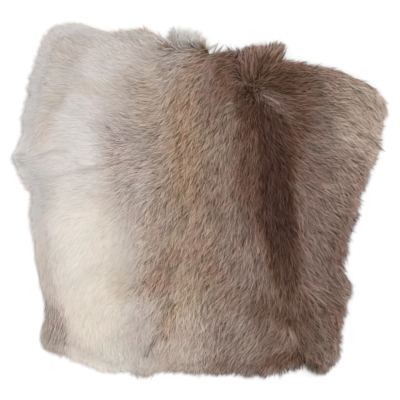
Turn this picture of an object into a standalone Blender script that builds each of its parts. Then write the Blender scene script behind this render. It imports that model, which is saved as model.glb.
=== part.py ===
"""A reindeer hide in its winter coat, laid out flat with the fur up, as one closed solid.

The underside is the flat skin. The upper side is the top of the coat: thick over the back, lower
over the belly, rolled down to the hair tips all round the rim, and dimpled where the hair parts.

Metres, +Z up. +X runs from the belly edge across the spine to the near flank, +Y from the rump to
the neck. The origin is under the middle of the hide, on the surface that it lies on.
"""

import math
from typing import NamedTuple

import bmesh
import bpy
import numpy as np
from mathutils.geometry import delaunay_2d_cdt

# Heights over the surface that the hide lies on.
BACK_COAT = 0.034
BELLY_COAT = 0.027
TIP_TOP = 0.006
TIP_UNDER = 0.002

# How far the coat takes to roll down to its tips, at the back's edges and at the belly edge.
BACK_ROLL = 0.040
BELLY_ROLL = 0.075

# The belly's coat gives way to the back's between these two places across the hide.
BELLY_X = -0.36
BACK_X = 0.02

# The hair reaches this far past the edge of the skin.
OVERHANG = 0.020

# Spacing of the points along the rim and of the staggered rows over the open coat.
RIM_STEP = 0.016
COAT_STEP = 0.022

# How far in the rings of points over the roll lie, and where the open coat's rows begin. A ring
# leaves out the points that the sides of a notch bring nearer the rim than this share of it.
ROLL_RINGS = (0.004, 0.011, 0.022, 0.037)
OPEN_COAT = 0.050
RING_CLEARANCE = 0.6

# The knots between which each step of a Catmull-Rom point blends.
SPLINE_SPANS = (((0, 1), (1, 2), (2, 3)), ((0, 2), (1, 3)), ((1, 2),))

# Faces that meet at more than this many degrees show an edge, as round the skin.
SHARP_ANGLE = 40

COAT_COLOUR = (0.26, 0.20, 0.16, 1.0)
COAT_ROUGHNESS = 0.85


class RimPoint(NamedTuple):
    """A place on the outline of the hair tips."""

    x: float
    y: float


class Swell(NamedTuple):
    """A soft rise of the coat, or a hollow where its height is negative."""

    x: float
    y: float
    length: float
    width: float
    heading: float
    height: float


class Ripple(NamedTuple):
    """One of the waves that the locks of hair lie in."""

    wavelength: float
    heading: float
    height: float


RIM = (
    # Neck edge, from the belly corner past the parting to the trimmed tuft and the shoulder.
    RimPoint(-0.392, 0.463),
    RimPoint(-0.358, 0.469),
    RimPoint(-0.317, 0.474),
    RimPoint(-0.279, 0.463),
    RimPoint(-0.241, 0.451),
    RimPoint(-0.189, 0.455),
    RimPoint(-0.135, 0.458),
    RimPoint(-0.103, 0.443),
    RimPoint(-0.081, 0.434),
    RimPoint(-0.077, 0.459),
    RimPoint(-0.041, 0.458),
    RimPoint(-0.003, 0.452),
    RimPoint(0.009, 0.441),
    RimPoint(0.022, 0.428),
    RimPoint(0.027, 0.408),
    RimPoint(0.034, 0.393),
    RimPoint(0.054, 0.399),
    RimPoint(0.081, 0.403),
    RimPoint(0.107, 0.404),
    RimPoint(0.144, 0.416),
    RimPoint(0.182, 0.421),
    RimPoint(0.211, 0.421),
    RimPoint(0.231, 0.414),
    RimPoint(0.229, 0.396),
    RimPoint(0.230, 0.382),
    RimPoint(0.280, 0.368),
    RimPoint(0.354, 0.354),
    RimPoint(0.401, 0.336),
    RimPoint(0.442, 0.318),
    RimPoint(0.470, 0.303),
    RimPoint(0.487, 0.281),
    # Near flank, down to the rump.
    RimPoint(0.497, 0.263),
    RimPoint(0.500, 0.242),
    RimPoint(0.493, 0.212),
    RimPoint(0.482, 0.185),
    RimPoint(0.481, 0.167),
    RimPoint(0.486, 0.145),
    RimPoint(0.475, 0.128),
    RimPoint(0.468, 0.107),
    RimPoint(0.451, 0.063),
    RimPoint(0.434, 0.019),
    RimPoint(0.425, -0.027),
    RimPoint(0.412, -0.066),
    RimPoint(0.397, -0.099),
    RimPoint(0.397, -0.136),
    RimPoint(0.391, -0.153),
    RimPoint(0.386, -0.171),
    RimPoint(0.396, -0.200),
    RimPoint(0.406, -0.234),
    RimPoint(0.394, -0.288),
    RimPoint(0.381, -0.344),
    RimPoint(0.375, -0.381),
    RimPoint(0.370, -0.416),
    RimPoint(0.349, -0.442),
    RimPoint(0.332, -0.463),
    # Rump edge, past the notch at the tail.
    RimPoint(0.305, -0.461),
    RimPoint(0.291, -0.451),
    RimPoint(0.280, -0.437),
    RimPoint(0.266, -0.448),
    RimPoint(0.232, -0.452),
    RimPoint(0.176, -0.466),
    RimPoint(0.127, -0.464),
    RimPoint(0.102, -0.459),
    RimPoint(0.076, -0.463),
    RimPoint(-0.015, -0.458),
    RimPoint(-0.096, -0.454),
    RimPoint(-0.123, -0.460),
    RimPoint(-0.142, -0.472),
    RimPoint(-0.162, -0.467),
    RimPoint(-0.183, -0.454),
    RimPoint(-0.221, -0.457),
    RimPoint(-0.265, -0.449),
    RimPoint(-0.346, -0.415),
    RimPoint(-0.416, -0.388),
    # Belly edge, up past its point.
    RimPoint(-0.421, -0.367),
    RimPoint(-0.421, -0.348),
    RimPoint(-0.415, -0.322),
    RimPoint(-0.410, -0.295),
    RimPoint(-0.421, -0.219),
    RimPoint(-0.432, -0.175),
    RimPoint(-0.436, -0.132),
    RimPoint(-0.445, -0.061),
    RimPoint(-0.451, -0.029),
    RimPoint(-0.445, 0.003),
    RimPoint(-0.452, 0.034),
    RimPoint(-0.470, 0.058),
    RimPoint(-0.484, 0.088),
    RimPoint(-0.500, 0.116),
    RimPoint(-0.483, 0.147),
    RimPoint(-0.469, 0.178),
    RimPoint(-0.471, 0.196),
    RimPoint(-0.470, 0.219),
    RimPoint(-0.457, 0.266),
    RimPoint(-0.450, 0.321),
    RimPoint(-0.430, 0.384),
    RimPoint(-0.409, 0.436),
    RimPoint(-0.399, 0.450),
)

SWELLS = (
    # The crest of the back, and the hair whorl at its neck end.
    Swell(x=0.200, y=0.000, length=0.240, width=0.060, heading=-84, height=0.004),
    Swell(x=0.139, y=0.298, length=0.030, width=0.024, heading=90, height=-0.008),
    # The tail's parting and the crease from it to the notch in the rump edge.
    Swell(x=0.242, y=-0.322, length=0.026, width=0.022, heading=0, height=-0.008),
    Swell(x=0.262, y=-0.385, length=0.050, width=0.012, heading=-70, height=-0.006),
    # The parting in the neck edge, and the full locks on each side of it.
    Swell(x=0.038, y=0.365, length=0.040, width=0.014, heading=-62, height=-0.009),
    Swell(x=-0.030, y=0.400, length=0.050, width=0.028, heading=20, height=0.005),
    Swell(x=0.195, y=0.375, length=0.040, width=0.026, heading=40, height=0.005),
    # The crease along the belly edge, the belly's hollows and its fullest part.
    Swell(x=-0.365, y=0.300, length=0.130, width=0.018, heading=67, height=-0.007),
    Swell(x=-0.215, y=0.160, length=0.070, width=0.038, heading=75, height=-0.004),
    Swell(x=-0.165, y=-0.045, length=0.055, width=0.035, heading=60, height=-0.004),
    Swell(x=-0.330, y=-0.120, length=0.130, width=0.070, heading=90, height=0.005),
    # The dark parted lock near the rump edge.
    Swell(x=-0.130, y=-0.385, length=0.050, width=0.015, heading=65, height=-0.006),
)

RIPPLES = (
    Ripple(wavelength=0.310, heading=15, height=0.0012),
    Ripple(wavelength=0.230, heading=82, height=0.0010),
    Ripple(wavelength=0.137, heading=130, height=0.0007),
    Ripple(wavelength=0.098, heading=-31, height=0.0006),
    Ripple(wavelength=0.081, heading=52, height=0.0005),
)


def spline_point(knots: list[np.ndarray], share: float) -> np.ndarray:
    """Return a point between the middle two of four knots, on a centripetal Catmull-Rom curve."""
    times = [0.0]
    for near, far in zip(knots, knots[1:]):
        times.append(times[-1] + math.sqrt(np.linalg.norm(far - near)))
    time = times[1] + (times[2] - times[1]) * share
    level = knots
    for spans in SPLINE_SPANS:
        level = [
            level[i] + (level[i + 1] - level[i]) * (time - times[first]) / (times[last] - times[first])
            for i, (first, last) in enumerate(spans)
        ]
    return level[0]


def rim_curve() -> np.ndarray:
    """Return points about RIM_STEP apart along the smooth outline, centred on the origin."""
    corners = [np.array(corner) for corner in RIM]
    count = len(corners)
    points = []
    for i in range(count):
        knots = [corners[(i + shift) % count] for shift in (-1, 0, 1, 2)]
        steps = max(1, round(np.linalg.norm(knots[2] - knots[1]) / RIM_STEP))
        points += [spline_point(knots, step / steps) for step in range(steps)]
    rim = np.array(points)
    return rim - (rim.min(axis=0) + rim.max(axis=0)) / 2


def depth_inside(points: np.ndarray, rim: np.ndarray) -> np.ndarray:
    """Return each point's distance from the nearest stretch of the rim."""
    stretch = np.roll(rim, -1, axis=0) - rim
    offset = points[:, None] - rim
    share = np.clip((offset * stretch).sum(axis=2) / (stretch**2).sum(axis=1), 0, 1)
    return np.linalg.norm(offset - share[..., None] * stretch, axis=2).min(axis=1)


def drawn_in(rim: np.ndarray, distance: float) -> np.ndarray:
    """Return the rim moved towards the middle of the hide by a distance."""
    return rim * (1 - distance / np.linalg.norm(rim, axis=1, keepdims=True))


def inside(points: np.ndarray, rim: np.ndarray) -> np.ndarray:
    """Say which points are inside the rim, whose bearing from the middle turns one way all round."""
    bearing = np.arctan2(rim[:, 1], rim[:, 0])
    order = np.argsort(bearing)
    reach = np.linalg.norm(rim, axis=1)[order]
    limit = np.interp(np.arctan2(points[:, 1], points[:, 0]), bearing[order], reach, period=2 * math.pi)
    return np.linalg.norm(points, axis=1) < limit


def coat_points(rim: np.ndarray) -> np.ndarray:
    """Return the rim, the rings that follow it and the staggered rows that fill the open coat."""
    rings = []
    for distance in ROLL_RINGS:
        ring = drawn_in(rim, distance)
        rings.append(ring[depth_inside(ring, rim) > distance * RING_CLEARANCE])
    low, high = rim.min(axis=0), rim.max(axis=0)
    row_step = COAT_STEP * math.sqrt(3) / 2
    rows = []
    for row, y in enumerate(np.arange(low[1], high[1], row_step)):
        x = np.arange(low[0] + COAT_STEP / 2 * (row % 2), high[0], COAT_STEP)
        rows.append(np.column_stack([x, np.full(len(x), y)]))
    field = np.vstack(rows)
    field = field[inside(field, rim)]
    field = field[depth_inside(field, rim) > OPEN_COAT]
    return np.vstack([rim, *rings, field])


def swell_height(swell: Swell, points: np.ndarray) -> np.ndarray:
    """Return how much a swell adds to the coat at each point, falling away as a bell curve."""
    along = np.array([math.cos(math.radians(swell.heading)), math.sin(math.radians(swell.heading))])
    offset = points - (swell.x, swell.y)
    far_along = offset @ along / swell.length
    far_across = (offset[:, 1] * along[0] - offset[:, 0] * along[1]) / swell.width
    return swell.height * np.exp(-(far_along**2) - far_across**2)


def ripple_height(ripple: Ripple, points: np.ndarray) -> np.ndarray:
    """Return how much a wave adds to the coat at each point."""
    along = np.array([math.cos(math.radians(ripple.heading)), math.sin(math.radians(ripple.heading))])
    return ripple.height * np.sin(points @ along * 2 * math.pi / ripple.wavelength)


def coat_height(points: np.ndarray, depth: np.ndarray) -> np.ndarray:
    """Return the height of the coat's top over each point, which lies a depth inside the rim."""
    share = np.clip((points[:, 0] - BELLY_X) / (BACK_X - BELLY_X), 0, 1)
    share = share * share * (3 - 2 * share)
    full = BELLY_COAT + (BACK_COAT - BELLY_COAT) * share
    full += sum(swell_height(swell, points) for swell in SWELLS)
    full += sum(ripple_height(ripple, points) for ripple in RIPPLES)
    roll = BELLY_ROLL + (BACK_ROLL - BELLY_ROLL) * share
    short = np.clip(1 - depth / roll, 0, 1)
    return TIP_TOP + (full - TIP_TOP) * np.sqrt(1 - short**2)


def coat_material() -> bpy.types.Material:
    """Return the plain taupe of the coat."""
    material = bpy.data.materials.new("winter_coat")
    material.use_nodes = True
    shader = material.node_tree.nodes["Principled BSDF"]
    shader.inputs["Base Color"].default_value = COAT_COLOUR
    shader.inputs["Roughness"].default_value = COAT_ROUGHNESS
    shader.inputs["Metallic"].default_value = 0.0
    return material


def hide_mesh() -> bpy.types.Mesh:
    """Return the closed hide: the coat's top, the lip of hair tips round it, and the flat skin."""
    rim = rim_curve()
    corners = list(range(len(rim)))
    placed, _, triangles, _, _, _ = delaunay_2d_cdt(coat_points(rim).tolist(), [], [corners], 1, 1e-6)
    flat = np.array([tuple(point) for point in placed])
    heights = coat_height(flat, depth_inside(flat, rim))

    shape = bmesh.new()
    verts = [shape.verts.new((x, y, z)) for (x, y), z in zip(flat, heights)]
    for triangle in triangles:
        shape.faces.new([verts[i] for i in triangle])

    # The lip under the tips, then the slope in to the edge of the skin.
    for level, distance in ((TIP_UNDER, 0.0), (0.0, OVERHANG)):
        edge = [e for e in shape.edges if e.is_boundary]
        grown = bmesh.ops.extrude_edge_only(shape, edges=edge)["geom"]
        for vert in (item for item in grown if isinstance(item, bmesh.types.BMVert)):
            x, y = drawn_in(np.array([vert.co[:2]]), distance)[0]
            vert.co = (x, y, level)
    bmesh.ops.holes_fill(shape, edges=[e for e in shape.edges if e.is_boundary], sides=0)
    bmesh.ops.recalc_face_normals(shape, faces=shape.faces)

    mesh = bpy.data.meshes.new("hide")
    shape.to_mesh(mesh)
    shape.free()
    mesh.shade_smooth()
    mesh.set_sharp_from_angle(angle=math.radians(SHARP_ANGLE))
    mesh.materials.append(coat_material())
    return mesh


def main() -> None:
    """Clear the scene and lay the hide in it."""
    for obj in list(bpy.data.objects):
        bpy.data.objects.remove(obj)
    hide = bpy.data.objects.new("hide", hide_mesh())
    bpy.context.scene.collection.objects.link(hide)


main()
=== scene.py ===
"""The looks of a reindeer hide in its winter coat, laid out flat with the fur up.

The hide is a tanned skin, the woolly undercoat that stands on it, and the guard hairs that lie over
that in five bands from the belly to the near flank. Each guard hair is a tapered blade that follows
the lay of the coat: away from the whorl at the neck, down the back, and out over both flanks.
Everything is worked out in the CAD solid's own outline and height. Metres, +Z up.
"""

import logging
import math
from dataclasses import dataclass
from enum import IntEnum
from typing import NamedTuple

import bmesh
import bpy
import numpy as np
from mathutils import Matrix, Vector
from mathutils.bvhtree import BVHTree


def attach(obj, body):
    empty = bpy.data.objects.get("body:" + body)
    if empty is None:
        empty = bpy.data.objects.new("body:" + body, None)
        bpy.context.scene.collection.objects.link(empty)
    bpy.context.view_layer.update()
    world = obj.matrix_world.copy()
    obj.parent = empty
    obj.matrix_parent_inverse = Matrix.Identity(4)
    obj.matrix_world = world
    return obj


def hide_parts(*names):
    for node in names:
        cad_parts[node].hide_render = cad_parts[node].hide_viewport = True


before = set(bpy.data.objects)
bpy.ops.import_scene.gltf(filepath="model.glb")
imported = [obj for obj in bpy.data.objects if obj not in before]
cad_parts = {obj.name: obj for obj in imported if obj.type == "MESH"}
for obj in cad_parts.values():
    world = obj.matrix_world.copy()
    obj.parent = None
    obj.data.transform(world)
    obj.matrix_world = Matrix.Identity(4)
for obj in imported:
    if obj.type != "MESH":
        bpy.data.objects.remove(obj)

log = logging.getLogger("hide")

UP = np.array([0.0, 0.0, 1.0])
SKIN_THICKNESS = 0.002

# The middle of a lock, or of a tuft's point, lies between these shares of its cell.
MIDDLES = (0.2, 0.8)

# How much red, green and blue add to a colour's lightness.
LUMINANCE = (0.2126, 0.7152, 0.0722)


class Seed(IntEnum):
    """What the chance in each part of the hide starts from."""

    LAY = 7
    PATTERN = 3
    WOOL = 11
    STREAKS = 5
    HAIRS = 23
    TUFTS = 37

    def rng(self) -> np.random.Generator:
        """Return a generator of the seed's random numbers."""
        return np.random.default_rng(self.value)


# --- Tables read from the hide. Their rows hold lengths in millimetres and colours in thousandths ---


class CombMark(NamedTuple):
    """A place where the hair's lay was read, and the way its tips point, in degrees from +X."""

    x: float
    y: float
    heading: float


class Whorl(NamedTuple):
    """A place that the hair turns away from on all sides, within about its reach."""

    x: float
    y: float
    reach: float


class Parting(NamedTuple):
    """A line that the hair turns away from on either side, to headings in degrees from +X."""

    start: tuple[float, float]
    end: tuple[float, float]
    left: float
    right: float
    reach: float


class Thinning(NamedTuple):
    """A place where so great a share of the hair is missing from its middle."""

    x: float
    y: float
    reach: float
    share: float


class Tuft(NamedTuple):
    """Hair that breaks the even lay or stands out past the rim.

    It grows along the line from x, y to its end and gathers into points, each of which reaches between
    the least and the most. The heading, in degrees from +X, is that at the line's start, and the fan is
    added to it by the end. The tone is 0 for pale hair and 1 for dark.
    """

    x: float
    y: float
    end_x: float
    end_y: float
    least: float
    most: float
    heading: float
    fan: float
    points: int
    hairs: int
    tone: float


class Marking(NamedTuple):
    """A soft-edged patch of coat colour: an ellipse whose length lies along its heading."""

    x: float
    y: float
    length: float
    width: float
    red: float
    green: float
    blue: float
    heading: float
    soft: float
    strength: float

    @property
    def colour(self) -> tuple[float, float, float]:
        """Return the patch's colour as it looks on screen."""
        return self.red, self.green, self.blue


def scaled(kind: type[tuple], count: int, rows: tuple[tuple[float, ...], ...]) -> tuple:
    """Turn a table's rows into named tuples.

    Args:
        kind: The named tuple that a row becomes.
        count: How many of a row's numbers, from the first on, are in thousandths.
        rows: The rows.

    Returns:
        A named tuple for each row, in metres and in shares of full colour.
    """
    return tuple(kind(*(number / 1000 for number in row[:count]), *row[count:]) for row in rows)


COMB_MARKS = scaled(CombMark, 2, (
    # Neck edge, from the belly corner to the near shoulder.
    (-364, 415, 150), (-250, 399, 153), (-136, 399, 149), (-57, 439, 92), (-15, 436, 86), (-91, 365, 202),
    (-25, 378, 206), (33, 365, 224), (76, 367, 190), (126, 352, 92), (129, 394, 94), (187, 346, 46),
    (187, 383, 60), (235, 344, 10), (293, 328, 4), (386, 288, -11), (404, 330, -26), (457, 285, -40),
    (468, 235, -44),
    # Shoulders.
    (-370, 306, 178), (-277, 306, 154), (-184, 306, 160), (-131, 288, 184), (-83, 330, 218),
    (-65, 299, 236), (-65, 256, 238), (-25, 293, 241), (15, 299, 236), (15, 261, 248), (49, 277, 228),
    (86, 304, 208), (86, 261, 222), (105, 235, 248), (150, 253, 250), (197, 253, -42), (208, 304, 10),
    (266, 253, -3), (256, 219, -18), (359, 235, -14), (439, 174, -28),
    # Ribs, neck end.
    (-428, 174, 232), (-425, 267, 187), (-343, 214, 170), (-380, 182, 184), (-250, 200, 162),
    (-211, 203, 159), (-158, 200, 183), (-126, 171, 195), (-91, 187, 223), (-41, 182, 242), (1, 187, 238),
    (86, 187, 254), (155, 187, 272), (224, 187, -54), (266, 140, -34), (319, 147, -27), (386, 140, -28),
    (404, 94, -37),
    # Ribs, middle.
    (-417, 94, 194), (-338, 94, 176), (-290, 94, 180), (-253, 97, 191), (-184, 94, 198), (-131, 121, 190),
    (-126, 76, 203), (-86, 76, 232), (-41, 76, 243), (15, 68, 249), (113, 68, 253), (195, 68, -84),
    (266, 68, -46), (314, 65, -34), (359, 41, -42),
    # Loin.
    (-383, -12, 200), (-333, -19, 194), (-295, -19, 201), (-264, -12, 217), (-216, 2, 227), (-147, 12, 221),
    (-152, -30, 244), (-83, 2, 247), (-41, -9, 250), (1, -38, 237), (44, -30, 249), (107, -51, 259),
    (200, -38, -84), (282, -38, -64), (319, -12, -50), (359, -57, -43), (-401, -131, 250), (-380, -72, 230),
    (-338, -72, 226), (-290, -118, 241), (-253, -115, 231), (-184, -118, 239), (-65, -131, 249),
    (1, -120, 242), (41, -144, 246), (134, -144, 257), (229, -144, -86), (266, -131, -66), (303, -120, -48),
    (325, -163, -58),
    # Rump.
    (-375, -237, 270), (-306, -242, 243), (-269, -237, 227), (-232, -221, 220), (-200, -231, 214),
    (-158, -237, 229), (-253, -163, 235), (-105, -224, 238), (-25, -250, 240), (-25, -295, 257),
    (-73, -303, 257), (102, -263, 236), (166, -311, 239), (200, -250, 264), (266, -290, -76),
    (314, -224, -42), (314, -277, -44), (346, -263, -35), (-356, -356, 262), (-295, -383, 262),
    (-258, -343, 254), (-253, -412, 279), (-211, -401, 263), (-144, -356, 243), (-12, -356, 254),
    (102, -356, 240), (166, -369, 235), (192, -390, 227), (293, -356, -50), (341, -369, -56),
    (293, -422, -60),
))

WHORL = Whorl(0.140, 0.292, 0.026)

# Seen from the start of the line, its left is the far side.
PARTING = Parting((0.242, -0.325), (0.274, -0.425), -56, 232, 0.028)

THINNINGS = scaled(Thinning, 3, (
    (-90, 463, 16, 0.95), (-52, 458, 22, 0.85), (-10, 455, 24, 0.85), (246, 395, 16, 0.85),
))

TUFTS = scaled(Tuft, 6, (
    # The neck's pale tuft: short and close, then long and thin, and the hair beside it.
    (-70, 418, 12, 415, 19, 29, 90, -5, 26, 380, 0.35), (-73, 420, -44, 420, 42, 56, 90, 0, 6, 110, 0.3),
    (-25, 418, 4, 415, 32, 45, 91, -6, 6, 110, 0.3), (1, 412, 25, 397, 16, 29, 74, -24, 7, 120, 0.4),
    # Wisps over the dip in the neck edge.
    (17, 405, 23, 399, 37, 48, 40, -16, 2, 44, 0.4), (30, 381, 38, 378, 42, 53, 60, -8, 2, 50, 0.4),
    (57, 378, 65, 375, 37, 45, 42, 0, 2, 44, 0.45), (81, 370, 97, 370, 24, 34, 66, 0, 2, 50, 0.7),
    # Past the whorl: the hair that runs up, and the slanted tuft.
    (110, 325, 150, 320, 64, 85, 93, -4, 6, 200, 0.3), (152, 362, 197, 357, 40, 58, 58, 0, 6, 260, 0.45),
    (187, 362, 211, 359, 45, 58, 62, -4, 3, 130, 0.5),
    # Round the whorl: short hair over its middle, and the hair that turns down from it.
    (123, 288, 144, 285, 16, 26, 100, -60, 5, 80, 0.45), (150, 299, 166, 288, 21, 34, 30, -50, 4, 70, 0.35),
    (155, 288, 192, 272, 32, 53, -32, -10, 6, 120, 0.15),
    # Spike of the near flank.
    (441, 190, 462, 155, 37, 56, -38, -4, 3, 110, 0.5),
    # Rump: the pale ridge down to the notch, and the long pale strands beside it.
    (237, -327, 248, -332, 80, 95, -73, 0, 3, 30, 0.15),
    (284, -404, 301, -417, 42, 53, -84, 0, 5, 240, 0.35),
    (256, -412, 270, -417, 34, 42, -88, 0, 4, 160, 0.45),
    (293, -422, 322, -433, 21, 32, -84, 14, 5, 160, 0.5),
    (221, -322, 237, -327, 37, 58, -68, 0, 2, 40, 0.2), (266, -221, 282, -231, 80, 127, -44, 0, 2, 24, 0),
    (298, -216, 319, -237, 58, 90, -38, 0, 2, 24, 0.1),
    # Belly edge: its point.
    (-454, 134, -454, 87, 34, 48, 196, -34, 9, 26, 0),
))

GROUND_COLOUR = (0.50, 0.42, 0.375)

MARKINGS = scaled(Marking, 7, (
    # The far side: saddle, tan, then the belly's pale and cream.
    (-184, 2, 689, 265, 580, 490, 420, 90, 0.25, 1), (-250, 2, 689, 172, 645, 570, 510, 90, 0.30, 1),
    (-370, 2, 689, 201, 780, 740, 710, 90, 0.24, 1), (-174, 410, 122, 45, 840, 805, 775, -6, 0.50, 0.9),
    (-174, 359, 58, 34, 815, 770, 740, -10, 0.60, 0.7), (-121, 309, 64, 42, 730, 670, 620, 80, 0.60, 0.7),
    (-274, 248, 111, 45, 855, 825, 800, 88, 0.60, 0.8), (-57, 415, 74, 26, 700, 650, 625, 8, 0.60, 0.8),
    (-174, -348, 122, 53, 800, 760, 730, 85, 0.50, 0.85),
    (-333, 140, 164, 72, 843, 823, 802, 92, 0.45, 0.9), (-289, -210, 233, 95, 860, 822, 773, 96, 0.36, 1),
    (-216, -224, 45, 24, 700, 640, 580, 100, 0.60, 0.5), (-351, -88, 138, 58, 870, 848, 818, 90, 0.50, 0.6),
    (-272, 362, 77, 45, 840, 812, 792, 20, 0.50, 0.9), (-354, 399, 90, 53, 770, 740, 715, 60, 0.50, 0.9),
    (-290, 299, 69, 21, 790, 745, 695, -5, 0.60, 0.4),
    # The belly's rim: greys, in part painted shade where the coat rolls down over its edge, and darker bands
    # of painted shade in its creases.
    (-444, 267, 175, 28, 753, 740, 730, 79, 0.50, 0.9), (-343, 450, 95, 21, 735, 718, 703, -8, 0.50, 0.85),
    (-189, 444, 90, 13, 710, 690, 670, -2, 0.60, 0.7), (-396, 240, 80, 15, 705, 670, 625, 62, 0.60, 0.85),
    (-359, 341, 58, 21, 730, 690, 665, 72, 0.60, 0.6), (-465, 108, 69, 40, 795, 780, 765, 0, 0.50, 0.9),
    (-436, -12, 74, 20, 745, 736, 724, 86, 0.50, 0.8), (-407, 121, 45, 8, 690, 660, 640, 15, 0.60, 0.45),
    (-383, 65, 26, 13, 710, 690, 660, 15, 0.60, 0.3), (-439, 57, 26, 21, 745, 745, 738, 0, 0.60, 0.8),
    (-423, -1, 37, 21, 750, 740, 725, 85, 0.60, 0.7), (-412, -263, 111, 26, 725, 685, 645, 95, 0.50, 0.9),
    (-394, -343, 74, 40, 610, 550, 510, 110, 0.40, 1), (-232, -433, 58, 34, 855, 827, 787, -10, 0.50, 0.9),
    (-317, -409, 53, 21, 790, 755, 715, -14, 0.60, 0.5), (-126, -438, 37, 24, 840, 800, 760, 0, 0.50, 0.8),
    (-83, -422, 69, 37, 765, 705, 665, 0, 0.60, 0.8), (-184, -443, 74, 21, 835, 810, 775, -10, 0.50, 0.7),
    # Greys and mauves between belly and back.
    (-200, 87, 154, 58, 665, 610, 578, 100, 0.50, 0.95), (-115, 129, 48, 34, 610, 545, 500, 90, 0.60, 0.6),
    (-126, -86, 42, 32, 613, 540, 490, 90, 0.60, 0.6), (-242, 185, 58, 21, 660, 610, 595, -22, 0.60, 0.4),
    (-290, 81, 45, 9, 680, 635, 610, 5, 0.60, 0.6), (-83, 370, 53, 37, 615, 560, 535, -60, 0.60, 0.75),
    (-129, -388, 34, 7, 490, 440, 425, 60, 0.60, 0.85),
    # Ochres and browns of the far side.
    (-38, 116, 148, 40, 610, 502, 398, 92, 0.60, 0.8), (-28, -176, 87, 53, 560, 460, 390, 0, 0.60, 0.8),
    (-44, -118, 34, 24, 660, 575, 500, 90, 0.60, 0.6), (-46, -247, 64, 32, 700, 615, 540, 90, 0.60, 0.8),
    (-73, -316, 42, 21, 650, 560, 460, 90, 0.60, 0.6), (-121, -226, 58, 32, 573, 468, 393, 20, 0.60, 0.8),
    (-20, -385, 74, 58, 785, 730, 680, 90, 0.60, 0.9), (-20, -335, 53, 32, 760, 685, 625, 90, 0.60, 0.6),
    (-12, 394, 42, 32, 530, 455, 415, 90, 0.60, 0.6), (44, 288, 95, 40, 460, 365, 310, 80, 0.60, 0.8),
    (15, 330, 40, 24, 600, 510, 465, 90, 0.60, 0.6), (70, 370, 37, 24, 370, 280, 235, 0, 0.50, 0.9),
    # The neck and the whorl.
    (166, 330, 143, 80, 407, 320, 272, -5, 0.40, 1), (131, 232, 77, 32, 276, 198, 160, 98, 0.50, 0.9),
    (211, 259, 50, 24, 440, 360, 330, 0, 0.60, 0.8), (237, 312, 45, 32, 300, 220, 175, -10, 0.60, 0.75),
    (155, 389, 85, 29, 530, 435, 385, 5, 0.55, 0.85), (171, 367, 24, 16, 350, 260, 210, 20, 0.60, 0.8),
    (97, 317, 26, 16, 465, 390, 365, 0, 0.60, 0.7), (179, 269, 45, 21, 490, 410, 380, -35, 0.60, 0.75),
    (-25, 444, 61, 26, 800, 785, 760, 0, 0.40, 0.95), (38, 405, 21, 16, 700, 670, 640, 0, 0.50, 0.9),
    # The back's grey.
    (102, -136, 159, 48, 540, 467, 430, 93, 0.60, 0.65), (97, -359, 122, 80, 555, 480, 445, 0, 0.60, 0.7),
    # The stripe along the back, softer towards the far side.
    (152, 71, 159, 66, 365, 280, 243, 93, 0.50, 0.85), (41, -14, 95, 32, 495, 410, 365, 95, 0.60, 0.5),
    (282, 174, 117, 34, 410, 320, 278, 90, 0.50, 0.9), (220, 118, 109, 36, 285, 183, 138, 90, 0.30, 0.9),
    (209, -17, 228, 50, 263, 164, 118, 95.5, 0.32, 1), (187, 198, 69, 37, 290, 205, 160, 120, 0.50, 0.8),
    # The near flank.
    (333, -51, 265, 69, 485, 405, 370, 90, 0.14, 1), (351, -12, 90, 42, 520, 435, 400, 90, 0.60, 0.6),
    (457, 219, 133, 93, 658, 589, 530, 80, 0.40, 1), (399, 293, 69, 40, 600, 524, 466, -35, 0.60, 0.7),
    (399, 65, 85, 40, 570, 490, 442, 60, 0.60, 0.7), (298, 288, 58, 32, 450, 360, 310, -20, 0.60, 0.35),
    # The rump.
    (168, -292, 56, 29, 403, 324, 288, 0, 0.60, 0.8), (182, -361, 64, 34, 435, 360, 325, -50, 0.60, 0.85),
    (242, -194, 80, 37, 340, 270, 245, 84, 0.60, 0.75), (229, -316, 37, 21, 305, 234, 207, -10, 0.50, 0.8),
    (248, -345, 24, 7, 310, 230, 200, -75, 0.50, 0.8), (256, -383, 37, 5, 560, 495, 465, -73, 0.50, 0.8),
    (285, -343, 95, 37, 378, 307, 278, 95, 0.50, 0.8), (356, -311, 90, 32, 430, 350, 315, 92, 0.50, 0.8),
    (375, -99, 69, 24, 455, 375, 335, 75, 0.50, 0.8), (213, -428, 69, 21, 370, 290, 250, 5, 0.50, 0.9),
    (298, -430, 37, 16, 440, 360, 320, 0, 0.60, 0.6), (60, -428, 80, 21, 500, 430, 390, 0, 0.60, 0.5),
))


# --- Small sums on arrays ---


def between(low: object, high: object, share: object) -> np.ndarray:
    """Return what lies a share of the way from low to high, each of them a number or an array."""
    return low + (high - low) * share


def eased(share: np.ndarray) -> np.ndarray:
    """Return shares from 0 to 1 with both their ends smoothed."""
    return share * share * (3 - 2 * share)


def unit(arrows: np.ndarray) -> np.ndarray:
    """Return flat arrows at a length of 1."""
    return arrows / np.maximum(np.linalg.norm(arrows, axis=1, keepdims=True), 1e-4)


def headed(angle: np.ndarray) -> np.ndarray:
    """Return the flat directions at angles from +X, in radians."""
    return np.column_stack([np.cos(angle), np.sin(angle)])


def turned(arrows: np.ndarray, angle: np.ndarray) -> np.ndarray:
    """Turn flat directions to the left.

    Args:
        arrows: The x and y of each.
        angle: How far to turn it, in radians.

    Returns:
        The turned directions.
    """
    cos, sin = np.cos(angle), np.sin(angle)
    x, y = arrows.T
    return np.column_stack([x * cos - y * sin, x * sin + y * cos])


def linear(colour: tuple[float, float, float]) -> tuple[float, float, float, float]:
    """Return the scene-linear colour, with alpha, of a colour as it looks on screen."""
    red, green, blue = (c / 12.92 if c <= 0.04045 else ((c + 0.055) / 1.055) ** 2.4 for c in colour)
    return red, green, blue, 1.0


# --- The form and the lay of the coat ---


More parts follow.
